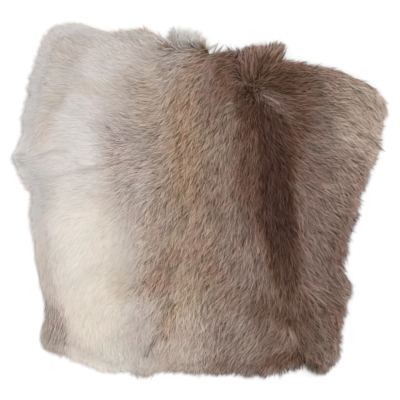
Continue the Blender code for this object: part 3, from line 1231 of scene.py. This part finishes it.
@dataclass
class GuardHairs:
    """The guard hairs, in bands from the belly to the near flank, each band one joined mesh."""

    form: HideForm
    lay: Lay
    streaks: Streaks
    pattern: CoatPattern
    count: int = 225_000
    belly_edge: tuple[float, float] = (-0.30, -0.12)
    bands: tuple[str, ...] = ("belly_hair", "far_side_hair", "saddle_hair", "back_hair", "near_flank_hair")

    # In every pair below named for the belly and the back, the belly's value comes first.

    # Lengths on the belly and the back, how they differ from lock to lock and from hair to hair, how
    # much shorter unruly hair is and how much longer stray hair, and the least.
    lengths: tuple[float, float] = (0.046, 0.038)
    lock_lengths: tuple[float, float] = (0.75, 1.20)
    hair_lengths: tuple[float, float] = (0.88, 1.05)
    mess_short: float = 0.45
    stray_long: float = 0.3
    least_length: float = 0.010

    # A hair's breadth, how it differs from hair to hair, and how far hairs twist on the belly and back.
    breadth: float = 0.0010
    breadths: tuple[float, float] = (0.7, 1.3)
    twists: tuple[float, float] = (0.35, 1.10)

    # The sizes of locks and wisps, the bends in their outlines, and how far in from the rim hairs gather
    # into wisps.
    lock_size: float = 0.0028
    lock_bend: float = 0.013
    wisp_size: float = 0.0090
    wisp_depth: float = 0.014

    # The share of hairs that are stray on the back, and how much of that the belly has.
    stray_share: float = 0.03
    belly_strays: float = 0.2

    # How hair turns aside from the lay, in radians. Swirls have their breadth and then their turn. Locks
    # turn on the belly and the back. Where hair is unruly there are more swirls, its wisps and locks
    # turn too, and its single hairs so many times more.
    swirl: tuple[float, float] = (0.040, 0.10)
    mess_swirl: tuple[float, float] = (0.020, 0.45)
    lock_turns: tuple[float, float] = (0.35, 1.00)
    mess_lock_turn: float = 0.7
    mess_wisp_turn: float = 1.1
    hair_turn: float = 0.15
    mess_hair_turn: float = 2.0

    # How much of its lock's pull a hair has on the belly and the back, and from hair to hair, how much
    # of it stray and unruly hair lacks, and how much of its wisp's pull hair at the rim has.
    lock_pulls: tuple[float, float] = (0.45, 1.0)
    hair_pulls: tuple[float, float] = (0.6, 1.0)
    stray_loose: float = 0.6
    mess_loose: float = 0.5
    wisp_pulls: tuple[float, float] = (0.35, 0.80)

    # How far in from the rim roots begin, where hair lies along it and where it lies outwards, how fast
    # they thin out towards it, and the bays in it.
    root_depths: tuple[float, float] = (0.002, 0.016)
    thinning: float = 0.0025
    bay_size: float = 0.018
    bay_depth: float = 0.0015

    # What decides how far out hair reaches on the back: the shares of its wisp, its lock and itself. The
    # belly's hair has only itself. So much of the hair stops short of the rim, by up to the shortfall.
    # The rest reaches past it by the overhang, on the belly and the back, of which hair that lies along
    # the rim has a share. The rags are by size and depth.
    out_shares: tuple[float, float, float] = (0.70, 0.10, 0.20)
    short_share: float = 0.40
    shortfall: float = 0.014
    overhang: tuple[float, float] = (0.0060, 0.0072)
    along_share: float = 0.20
    rags: tuple[tuple[float, float], ...] = ((0.030, 0.003), (0.011, 0.002))

    # The wool's height as a share of the CAD form's, and how the coat comes down over the rim: from how
    # far in, with which share of the hairs' height left, to what height at the tips, and at which slopes
    # on the belly and the back.
    wool_share: float = 0.66
    rim: float = 0.022
    rim_lift: float = 0.2
    tip_top: float = 0.0055
    least_height: float = 0.0025
    slopes: tuple[float, float] = (0.50, 0.85)

    # How much hairs differ in height, by shares and in metres, how much higher stray hair lies, and how
    # far apart high and low locks or pale and dark streaks lie, on the belly and the back. The lock has
    # so great a share in that, and the streak has the rest.
    lifts: tuple[float, float] = (0.8, 1.2)
    uneven_lift: float = 0.0006
    stray_lift: float = 0.0015
    lock_lifts: tuple[float, float] = (0.002, 0.007)
    lock_rank: float = 0.4

    # How far along a hair its streak is read and the coat's colour shows, the lock's share in the
    # latter, how near to the rim this evens out, and to where.
    seen: float = 0.70
    shown: tuple[float, float] = (0.40, 1.05)
    shown_by_lock: float = 0.6
    rim_shown: float = 0.030
    rim_end: float = 0.9

    # The tone that the belly's hair nears at the rim, and by how much. How much painted light brightens the
    # hair at the rim, where the coat rolls down into shade, from which depth to which, and how much of that
    # the back has.
    rim_tone: float = 0.45
    rim_evened: float = 0.6
    rim_painted_light: float = 0.46
    painted_light_depths: tuple[float, float] = (0.013, -0.006)
    back_painted_light: float = 0.5

    # The breadth of the room that locks are laid over, the share of the reaches' long tail that is kept,
    # and how often hairs are cut back towards theirs.
    SPAN = 1.2
    LONGEST = 0.98
    TRIMS = 6

    # Along a hair from root to tip: how far its lock draws it in, its height over the wool, and how much
    # of its lock's own height it has.
    PULL = np.array([0.0, 0.35, 0.70, 0.92])
    LIFT = np.array([-0.004, 0.0030, 0.0045, 0.0050])
    RISE = np.array([0.0, 0.9, 1.0, 0.8])

    def outwards(self, places: np.ndarray) -> np.ndarray:
        """Return how far outwards the hair lies at places, from 0 to 1 for straight out."""
        return np.clip((self.lay.at(places) * self.form.outward.at(places)).sum(axis=1), 0, 1)

    def scattered(self, rng: np.random.Generator) -> np.ndarray:
        """Scatter the roots evenly, further in from the rim where the hair lies outwards.

        Args:
            rng: Where their places are drawn from.

        Returns:
            The x and y of each root.
        """
        low, high = self.form.rim.min(axis=0), self.form.rim.max(axis=0)
        inside = (self.form.depths.values > self.root_depths[0] + self.root_depths[1] / 2).sum()
        step = math.sqrt(inside * self.form.STEP**2 / self.count)
        cells = np.ceil((high - low) / step).astype(int)
        x, y = np.meshgrid(*(np.arange(n) for n in cells), indexing="ij")
        places = np.column_stack([x.ravel(), y.ravel()]) + rng.uniform(0, 1, (x.size, 2))
        places = low + places * step
        limit = between(*self.root_depths, self.outwards(places))
        limit += rng.exponential(self.thinning, len(places))
        limit += Drift(rng, self.bay_size).at(places) * self.bay_depth
        return places[self.form.depths.at(places) > limit]

    def gathered(self, roots: np.ndarray, size: float,
                 rng: np.random.Generator) -> tuple[np.ndarray, np.ndarray]:
        """Gather the hairs into locks or wisps.

        Args:
            roots: The root of each hair.
            size: The breadth of a lock.
            rng: Where the locks' places are drawn from.

        Returns:
            The middle of each hair's lock, and four rows of numbers from 0 to 1 that a lock's hairs share.
        """
        low = np.full(2, -self.SPAN / 2)
        count = int(self.SPAN / size) + 1
        bend = np.column_stack([Drift(rng, self.lock_bend).at(roots), Drift(rng, self.lock_bend).at(roots)])
        cell = np.clip(((roots + bend * size - low) / size).astype(int), 0, count - 1)
        middle = rng.uniform(*MIDDLES, (count, count, 2))
        shared = rng.uniform(0, 1, (count, count, 4))
        i, j = cell.T
        return low + (cell + middle[i, j]) * size, shared[i, j].T

    def sown(self, rng: np.random.Generator) -> Growth:
        """Scatter the hairs, gather them, and draw what sets each apart.

        Args:
            rng: Where all of that is drawn from.

        Returns:
            The hairs' growth.
        """
        roots = self.scattered(rng)
        lock, (high, long, out, aside) = self.gathered(roots, self.lock_size, rng)
        wisp, (wisp_out, wisp_aside, *_) = self.gathered(roots, self.wisp_size, rng)
        own = rng.uniform(0, 1, len(roots))
        coarse = eased(np.clip((roots[:, 0] - self.belly_edge[0]) / np.ptp(self.belly_edge), 0, 1))
        stray = rng.uniform(0, 1, len(roots)) < self.stray_share * between(self.belly_strays, 1, coarse)
        mess = self.lay.mess(roots)
        return Growth(
            roots, coarse, mess, stray, own, lock, high, long, out, aside, wisp, wisp_out, wisp_aside
        )

    def reach(self, hairs: Growth, rng: np.random.Generator) -> np.ndarray:
        """Work out how far past the rim each hair may reach.

        Args:
            hairs: The hairs' growth.
            rng: Where the rim's own raggedness is drawn from.

        Returns:
            Each hair's reach past the rim, below 0 where it stops short of it.
        """
        coarse = hairs.coarse
        parts = hairs.wisp_out, hairs.out, hairs.own
        free = sum(share * part for share, part in zip(self.out_shares, parts)) * coarse
        free += hairs.own * (1 - coarse)
        past = np.maximum(free - self.short_share, 0) / (1 - self.short_share)
        short = np.maximum(self.short_share - free, 0) / self.short_share
        overhang = between(*self.overhang, coarse)
        overhang *= between(self.along_share, 1, self.outwards(hairs.roots))
        ragged = sum(Drift(rng, size).at(hairs.roots) * depth for size, depth in self.rags)
        return ragged - np.log(1 - self.LONGEST * past) * overhang - short * self.shortfall

    @staticmethod
    def thinned(tips: np.ndarray) -> np.ndarray:
        """Work out how much of the hair is missing.

        Args:
            tips: The x and y of each hair's tip.

        Returns:
            The share of the hairs that is missing where each has its tip.
        """
        missing = np.zeros(len(tips))
        for place in THINNINGS:
            far = np.linalg.norm(tips - (place.x, place.y), axis=1) / place.reach
            missing = np.maximum(missing, place.share * np.exp(-(far**4)))
        return missing

    def path(self, roots: np.ndarray, turn: np.ndarray, length: np.ndarray) -> np.ndarray:
        """Lead hairs over the hide along its lay.

        Args:
            roots: The root of each hair.
            turn: How far it turns aside from the lay, in radians.
            length: Its length.

        Returns:
            Each hair's course: its x and y at its root, joints and tip.
        """
        steps = len(self.LIFT) - 1
        course = [roots]
        for _ in range(steps):
            arrow = turned(self.lay.at(course[-1]), turn)
            course.append(course[-1] + arrow * (length / steps)[:, None])
        return np.stack(course, axis=1)

    def trimmed(self, roots: np.ndarray, turn: np.ndarray, length: np.ndarray,
                reach: np.ndarray) -> np.ndarray:
        """Cut hairs back so that each tip keeps to its reach past the rim.

        Args:
            roots: The root of each hair.
            turn: How far it turns aside from the lay, in radians.
            length: Its length before the cut.
            reach: How far past the rim it may reach.

        Returns:
            The length of each hair.
        """
        for _ in range(self.TRIMS):
            past = -self.form.depths.at(self.path(roots, turn, length)[:, -1]) - reach
            length = np.maximum(length - np.maximum(past, 0), self.least_length)
        return length

    def combed(self, hairs: Growth, rng: np.random.Generator) -> np.ndarray:
        """Comb the hairs: turn and trim each, and draw it in to its lock and, at the rim, to its wisp.

        Args:
            hairs: The hairs' growth.
            rng: Where all that varies from hair to hair is drawn from.

        Returns:
            Each hair's course: its x and y at its root, joints and tip.
        """
        roots, coarse, mess, stray = hairs.roots, hairs.coarse, hairs.mess, hairs.stray
        count = len(roots)
        (broad, bend), (small, mess_bend) = self.swirl, self.mess_swirl
        swirl = self.lay.ruffle(roots) + Drift(rng, broad).at(roots) * bend
        swirl += Drift(rng, small).at(roots) * mess_bend * mess
        swirl += (hairs.wisp_aside - 0.5) * self.mess_wisp_turn * mess
        swirl += (hairs.aside - 0.5) * (between(*self.lock_turns, coarse) + self.mess_lock_turn * mess)
        turn = swirl + rng.normal(0, self.hair_turn, count) * (1 + self.mess_hair_turn * mess + stray)
        length = between(*self.lengths, coarse)
        uneven = between(*self.lock_lengths, hairs.long) * rng.uniform(*self.hair_lengths, count)
        length *= uneven * (1 - self.mess_short * mess) * (1 + self.stray_long * stray)
        length = self.trimmed(roots, turn, length, self.reach(hairs, rng))
        course = self.path(roots, turn, length)
        pull = between(*self.lock_pulls, coarse) * rng.uniform(*self.hair_pulls, count)
        pull *= (1 - self.stray_loose * stray) * (1 - self.mess_loose * mess)
        course += (self.path(hairs.lock, swirl, length) - course) * self.PULL[:, None] * pull[:, None, None]
        rimmed = np.clip(1 - self.form.depths.at(course[:, -1]) / self.wisp_depth, 0, 1)
        pull = between(*self.wisp_pulls, coarse) * rimmed
        course += (self.path(hairs.wisp, swirl, length) - course) * self.PULL[:, None] * pull[:, None, None]
        return course

    def lifted(self, hairs: Growth, streak: np.ndarray, rng: np.random.Generator) -> np.ndarray:
        """Work out how high the hairs lie: pale streaks and stray hairs above the rest.

        Args:
            hairs: The hairs' growth.
            streak: The streak that each hair is in.
            rng: Where all that varies from hair to hair is drawn from.

        Returns:
            Each hair's height over the wool at its root, joints and tip.
        """
        count = len(streak)
        lift = self.LIFT * rng.uniform(*self.lifts, (count, 1))
        # Dark streaks lie lowest, so their darkness is in part painted shade of the gaps between locks.
        rank = between(1 - streak, hairs.high, self.lock_rank) - 0.5
        rise = self.stray_lift * hairs.stray + between(*self.lock_lifts, hairs.coarse) * rank
        return lift + self.RISE * rise[:, None] + rng.normal(0, self.uneven_lift, (count, len(self.LIFT)))

    def raised(self, course: np.ndarray, lift: np.ndarray, coarse: np.ndarray) -> np.ndarray:
        """Lay the hairs over the wool and down over the rim.

        Args:
            course: Each hair's x and y at its root, joints and tip.
            lift: Its height over the wool there.
            coarse: A number for each hair, from 0 on the belly to 1 on the back.

        Returns:
            Each hair's middle line.
        """
        flat = course.reshape(-1, 2)
        wool = SKIN_THICKNESS + self.form.heights.at(flat).reshape(lift.shape) * self.wool_share
        depth = self.form.depths.at(flat).reshape(lift.shape)
        height = wool + lift * np.clip(depth / self.rim, self.rim_lift, 1)
        slope = between(*self.slopes, coarse)[:, None]
        most = self.tip_top + np.maximum(depth, 0) * slope + lift * self.rim_lift
        least = self.least_height
        return np.dstack([course, np.clip(height, least, np.maximum(most, least))])

    def coloured(self, hairs: Growth, course: np.ndarray, near: np.ndarray,
                 rng: np.random.Generator) -> np.ndarray:
        """Work out the coat's colour along the hairs, with painted light that brightens it at the rim.

        Args:
            hairs: The hairs' growth.
            course: Each hair's x and y at its root, joints and tip.
            near: How near to the rim its tip is, from 0 to 1.
            rng: Where all that varies from hair to hair is drawn from.

        Returns:
            Each hair's scene-linear colour at its root, joints and tip.
        """
        shown = between(*self.shown, between(rng.uniform(0, 1, len(near)), hairs.long, self.shown_by_lock))
        shown = between(shown, self.rim_end, near)[:, None]
        coat = self.pattern.at(hairs.roots * (1 - shown) + course[:, -1] * shown)
        depth = self.form.depths.at(course.reshape(-1, 2)).reshape(len(near), -1)
        # Painted light: hair near the rim is brightened where the coat rolls down into shade.
        glow = np.clip((depth - self.painted_light_depths[0]) / np.subtract(*self.painted_light_depths[::-1]), 0, 1)
        glow *= self.rim_painted_light * between(1, self.back_painted_light, hairs.coarse)[:, None]
        return coat[:, None] * (1 + glow)[:, :, None]

    def build(self, finish: GuardHairFinish, rng: np.random.Generator) -> list[bpy.types.Object]:
        """Grow the hairs and dress them.

        Args:
            finish: The hairs' finish.
            rng: Where all that varies from hair to hair is drawn from.

        Returns:
            A piece for each band.
        """
        hairs = self.sown(rng)
        roots, coarse = hairs.roots, hairs.coarse
        count = len(roots)
        course = self.combed(hairs, rng)
        tips = course[:, -1]
        kept = rng.uniform(0, 1, count) > self.thinned(tips)
        streak = self.streaks.at(roots * (1 - self.seen) + tips * self.seen)
        spine = self.raised(course, self.lifted(hairs, streak, rng), coarse)
        near = np.clip(1 - self.form.depths.at(tips) / self.rim_shown, 0, 1)
        tone = np.where(hairs.stray, np.round(hairs.own), streak)
        tone += (self.rim_tone - tone) * self.rim_evened * near * (1 - coarse)
        coat = self.coloured(hairs, course, near, rng)
        twist = rng.uniform(-1, 1, count) * between(*self.twists, coarse)
        breadth = self.breadth * rng.uniform(*self.breadths, count)
        material = finish.material()
        order = np.argsort(roots[:, 0])
        pieces = []
        for name, members in zip(self.bands, np.array_split(order[kept[order]], len(self.bands))):
            band = Blades(*(values[members] for values in (spine, breadth, twist, coat, tone, hairs.own)))
            pieces.append(new_piece(band.mesh(name), material))
        return pieces


@dataclass
class Tufts:
    """The tufts and wisps that stand out past the rim, and the tresses on the coat, as one joined mesh."""

    form: HideForm
    pattern: CoatPattern

    # A hair's breadth and how it differs from hair to hair, and how far hairs twist, in radians.
    breadth: float = 0.0010
    breadths: tuple[float, float] = (0.6, 1.2)
    twist: float = 0.8

    # How far points stray from the tuft's heading, in degrees, how much of its point's reach a hair has,
    # how far roots spread, and how much points differ in tone.
    stray: float = 6.0
    hair_reaches: tuple[float, float] = (0.45, 1.0)
    root_spread: float = 0.001
    tone_spread: float = 0.2

    # The wool's height as a share of the CAD form's, how much hairs differ in height, the least, from
    # how far in they come down over the rim, and the share of their height that they keep there.
    wool_share: float = 0.66
    lifts: tuple[float, float] = (0.7, 1.2)
    least_height: float = 0.003
    rim: float = 0.022
    rim_lift: float = 0.2

    # How far along a hair its joints are, how far its point draws it in there, and its height over the
    # wool.
    ALONG = np.array([0.0, 0.34, 0.68, 1.0])
    PULL = np.array([0.0, 0.25, 0.55, 0.85])
    LIFT = np.array([0.000, 0.0060, 0.0085, 0.0085])

    def grown(self, tuft: Tuft, rng: np.random.Generator) -> tuple[np.ndarray, np.ndarray]:
        """Grow one tuft.

        Args:
            tuft: Where it grows, and how.
            rng: Where all that varies from hair to hair is drawn from.

        Returns:
            Each hair's middle line, and the tone that it shares with the hairs of its point.
        """
        start = np.array((tuft.x, tuft.y))
        line = np.subtract((tuft.end_x, tuft.end_y), start)
        middles = (np.arange(tuft.points) + rng.uniform(*MIDDLES, tuft.points)) / tuft.points
        reaches = rng.uniform(tuft.least, tuft.most, tuft.points)
        strays = rng.normal(0, self.stray, tuft.points)
        share = rng.uniform(0, 1, tuft.hairs)
        point = np.abs(share[:, None] - middles).argmin(axis=1)
        reach = reaches[point] * rng.uniform(*self.hair_reaches, tuft.hairs)
        reach = reach[:, None, None] * self.ALONG[:, None]
        own = tuft.heading + tuft.fan * share + strays[point] + rng.normal(0, self.stray / 2, tuft.hairs)
        shared = (tuft.heading + tuft.fan * middles + strays)[point]
        root = start + share[:, None] * line + rng.normal(0, self.root_spread, (tuft.hairs, 2))
        middle = start + middles[point][:, None] * line
        course = root[:, None] + headed(np.radians(own))[:, None] * reach
        guide = middle[:, None] + headed(np.radians(shared))[:, None] * reach
        course += (guide - course) * self.PULL[:, None]
        flat = course.reshape(-1, 2)
        wool = self.form.heights.at(flat).reshape(-1, len(self.ALONG)) * self.wool_share
        near = np.clip(self.form.depths.at(flat).reshape(wool.shape) / self.rim, self.rim_lift, 1)
        height = SKIN_THICKNESS + wool + self.LIFT * rng.uniform(*self.lifts, (tuft.hairs, 1)) * near
        tone = np.clip(tuft.tone + rng.uniform(-1, 1, tuft.points) * self.tone_spread, 0, 1)
        return np.dstack([course, np.maximum(height, self.least_height)]), tone[point]

    def build(self, finish: GuardHairFinish, rng: np.random.Generator) -> bpy.types.Object:
        """Grow the tufts and dress them.

        Args:
            finish: The hairs' finish.
            rng: Where all that varies from hair to hair is drawn from.

        Returns:
            The tufts.
        """
        spines, tones = zip(*(self.grown(tuft, rng) for tuft in TUFTS))
        spine, tone = np.vstack(spines), np.concatenate(tones)
        count = len(spine)
        coat = self.pattern.at((spine[:, 0, :2] + spine[:, -1, :2]) / 2)
        coat = np.repeat(coat[:, None], len(self.ALONG), axis=1)
        breadth = self.breadth * rng.uniform(*self.breadths, count)
        twist = rng.uniform(-self.twist, self.twist, count)
        blades = Blades(spine, breadth, twist, coat, tone, rng.uniform(0, 1, count))
        return new_piece(blades.mesh("edge_tufts"), finish.material())


# --- The studio ---


@dataclass(frozen=True)
class Studio:
    """A pale floor under soft light, and a long lens straight above the hide."""

    floor_size: float = 12.0
    floor_drop: float = 0.0005
    floor_shade: float = 0.80
    sky: float = 0.62
    sky_colour: tuple[float, float, float, float] = (0.97, 0.985, 1.0, 1.0)
    sun: float = 2.6
    sun_colour: tuple[float, float, float] = (1.0, 0.995, 0.99)
    sun_spread: float = 50.0
    sun_bearing: float = 35.0
    sun_height: float = 58.0
    view_width: float = 1.06
    view_height: float = 6.0
    coat_top: float = 0.028
    sensor: float = 36.0
    centre: tuple[float, float] = (0.0013, 0.0017)

    def build(self) -> None:
        """Set up the floor, the light and the camera."""
        self.lay_floor()
        self.hang_light()
        self.hang_camera()

    def lay_floor(self) -> None:
        """Lay the floor just under the hide."""
        shape = bmesh.new()
        bmesh.ops.create_grid(shape, x_segments=1, y_segments=1, size=self.floor_size / 2)
        bmesh.ops.translate(shape, verts=shape.verts, vec=(0, 0, -self.floor_drop))
        mesh = finished(shape, "floor")
        material, tree = new_material("floor")
        shade = (self.floor_shade,) * 3 + (1.0,)
        tree.surface({"Base Color": shade, "Roughness": 1.0, "Specular IOR Level": 0.0})
        mesh.materials.append(material)
        floor = bpy.data.objects.new("floor", mesh)
        bpy.context.scene.collection.objects.link(floor)

    def hang_light(self) -> None:
        """Light the hide by an even sky and one broad lamp."""
        world = bpy.data.worlds.new("studio")
        world.use_nodes = True
        back = world.node_tree.nodes["Background"]
        back.inputs["Color"].default_value = self.sky_colour
        back.inputs["Strength"].default_value = self.sky
        bpy.context.scene.world = world
        lamp = bpy.data.lights.new("lamp", "SUN")
        lamp.energy = self.sun
        lamp.angle = math.radians(self.sun_spread)
        lamp.color = self.sun_colour
        holder = bpy.data.objects.new("lamp", lamp)
        bearing, height = math.radians(self.sun_bearing), math.radians(self.sun_height)
        across = math.cos(height)
        towards = Vector((math.cos(bearing) * across, math.sin(bearing) * across, math.sin(height)))
        holder.rotation_mode = "QUATERNION"
        holder.rotation_quaternion = towards.to_track_quat("Z", "Y")
        bpy.context.scene.collection.objects.link(holder)

    def hang_camera(self) -> None:
        """Hang the camera straight above the hide, with the neck at the top of the picture."""
        lens = bpy.data.cameras.new("camera")
        lens.sensor_width = self.sensor
        lens.lens = self.sensor * (self.view_height - self.coat_top) / self.view_width
        camera = bpy.data.objects.new("camera", lens)
        camera.location = (*self.centre, self.view_height)
        bpy.context.scene.collection.objects.link(camera)
        bpy.context.scene.camera = camera
        bpy.context.scene.view_settings.view_transform = "Standard"


def main() -> None:
    logging.basicConfig(level=logging.INFO, format="%(message)s")
    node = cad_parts["hide"]
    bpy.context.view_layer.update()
    form = HideForm(node)
    lay = Lay(form, Seed.LAY.rng())
    skin_cut = Skin(form)
    skin = skin_cut.build(SkinFinish())
    pattern = CoatPattern(Seed.PATTERN.rng())
    undercoat = Undercoat(form, pattern).build(node, UndercoatFinish(), Seed.WOOL.rng())
    streaks = Streaks(form, lay, Seed.STREAKS.rng())
    hairs = GuardHairs(form, lay, streaks, pattern).build(GuardHairFinish(), Seed.HAIRS.rng())
    hairs.append(Tufts(form, pattern).build(GuardHairFinish(name="tuft_hair"), Seed.TUFTS.rng()))
    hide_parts("hide")
    width, length = np.ptp(form.skin_edge, axis=0)
    skin_cut.area
    for piece in (skin, undercoat, *hairs):
        log.info("%s: %d faces", piece.name, len(piece.data.polygons))
    Studio().build()


if __name__ == "__main__":
    main()
